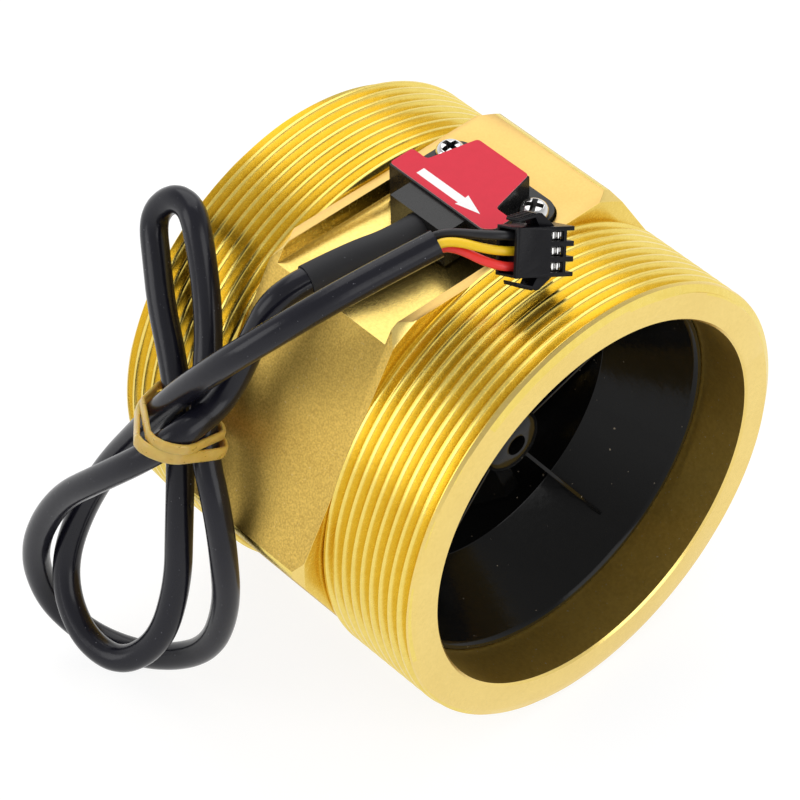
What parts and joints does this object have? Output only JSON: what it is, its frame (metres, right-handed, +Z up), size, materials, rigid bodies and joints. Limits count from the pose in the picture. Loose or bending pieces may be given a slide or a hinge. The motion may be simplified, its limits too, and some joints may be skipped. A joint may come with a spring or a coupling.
{
  "type": "turbine flow meter",
  "caption": "Turbine flow meter with a threaded hexagon body, flow guides, a spinning helical rotor and a clip-in pick-up with a looped signal lead and plug.",
  "frame": {"origin": "middle of the base of the body's box, where the lowest line of the two threads' crests rests on the ground", "axes": "+X along the bore towards the outlet end, +Z up through the hexagon's top flat and the pick-up, and the lead leaves the pick-up towards -Y"},
  "size_m": [0.0786, 0.1198, 0.1036],
  "materials": {
    "gold_anodised_aluminium": "satin",
    "black_moulding": "gloss",
    "steel": "bright",
    "bearing_plastic": "satin",
    "magnet": "bright",
    "seal_rubber": "matt",
    "board": "satin",
    "chip": "matt",
    "label_red": "matt",
    "sleeve": "matt",
    "cable_jacket": "satin",
    "black_core": "satin",
    "yellow_core": "satin",
    "red_core": "satin",
    "plug_plastic": "satin",
    "contact_metal": "bright",
    "amber_rubber": "satin"
  },
  "bodies": {
    "meter": {"meter_body": "gold_anodised_aluminium", "outlet_guide": "black_moulding", "inlet_guide": "black_moulding", "front_guide_seal": "seal_rubber", "rear_guide_seal": "seal_rubber", "rotor_shaft": "steel", "front_bearing": "bearing_plastic", "rear_bearing": "bearing_plastic", "front_thrust_washer": "steel", "rear_thrust_washer": "steel", "sensor_housing": "black_moulding", "housing_gasket": "seal_rubber", "circuit_board": "board", "hall_chip": "chip", "sensor_label": "label_red", "front_screw": "steel", "rear_screw": "steel", "connector_housing": "plug_plastic", "connector_terminals": "contact_metal", "heat_shrink_sleeve": "sleeve", "signal_cable": "cable_jacket", "rubber_band": "amber_rubber", "black_wire": "black_core", "yellow_wire": "yellow_core", "red_wire": "red_core"},
    "rotor": {"rotor": "black_moulding", "rotor_magnets": "magnet"}
  },
  "joints": [
    {"name": "rotor_spin", "type": "hinge", "parent": "meter", "child": "rotor", "pos_m": [0, 0, 0.04394], "axis": [1, 0, 0], "continuous": true}
  ]
}
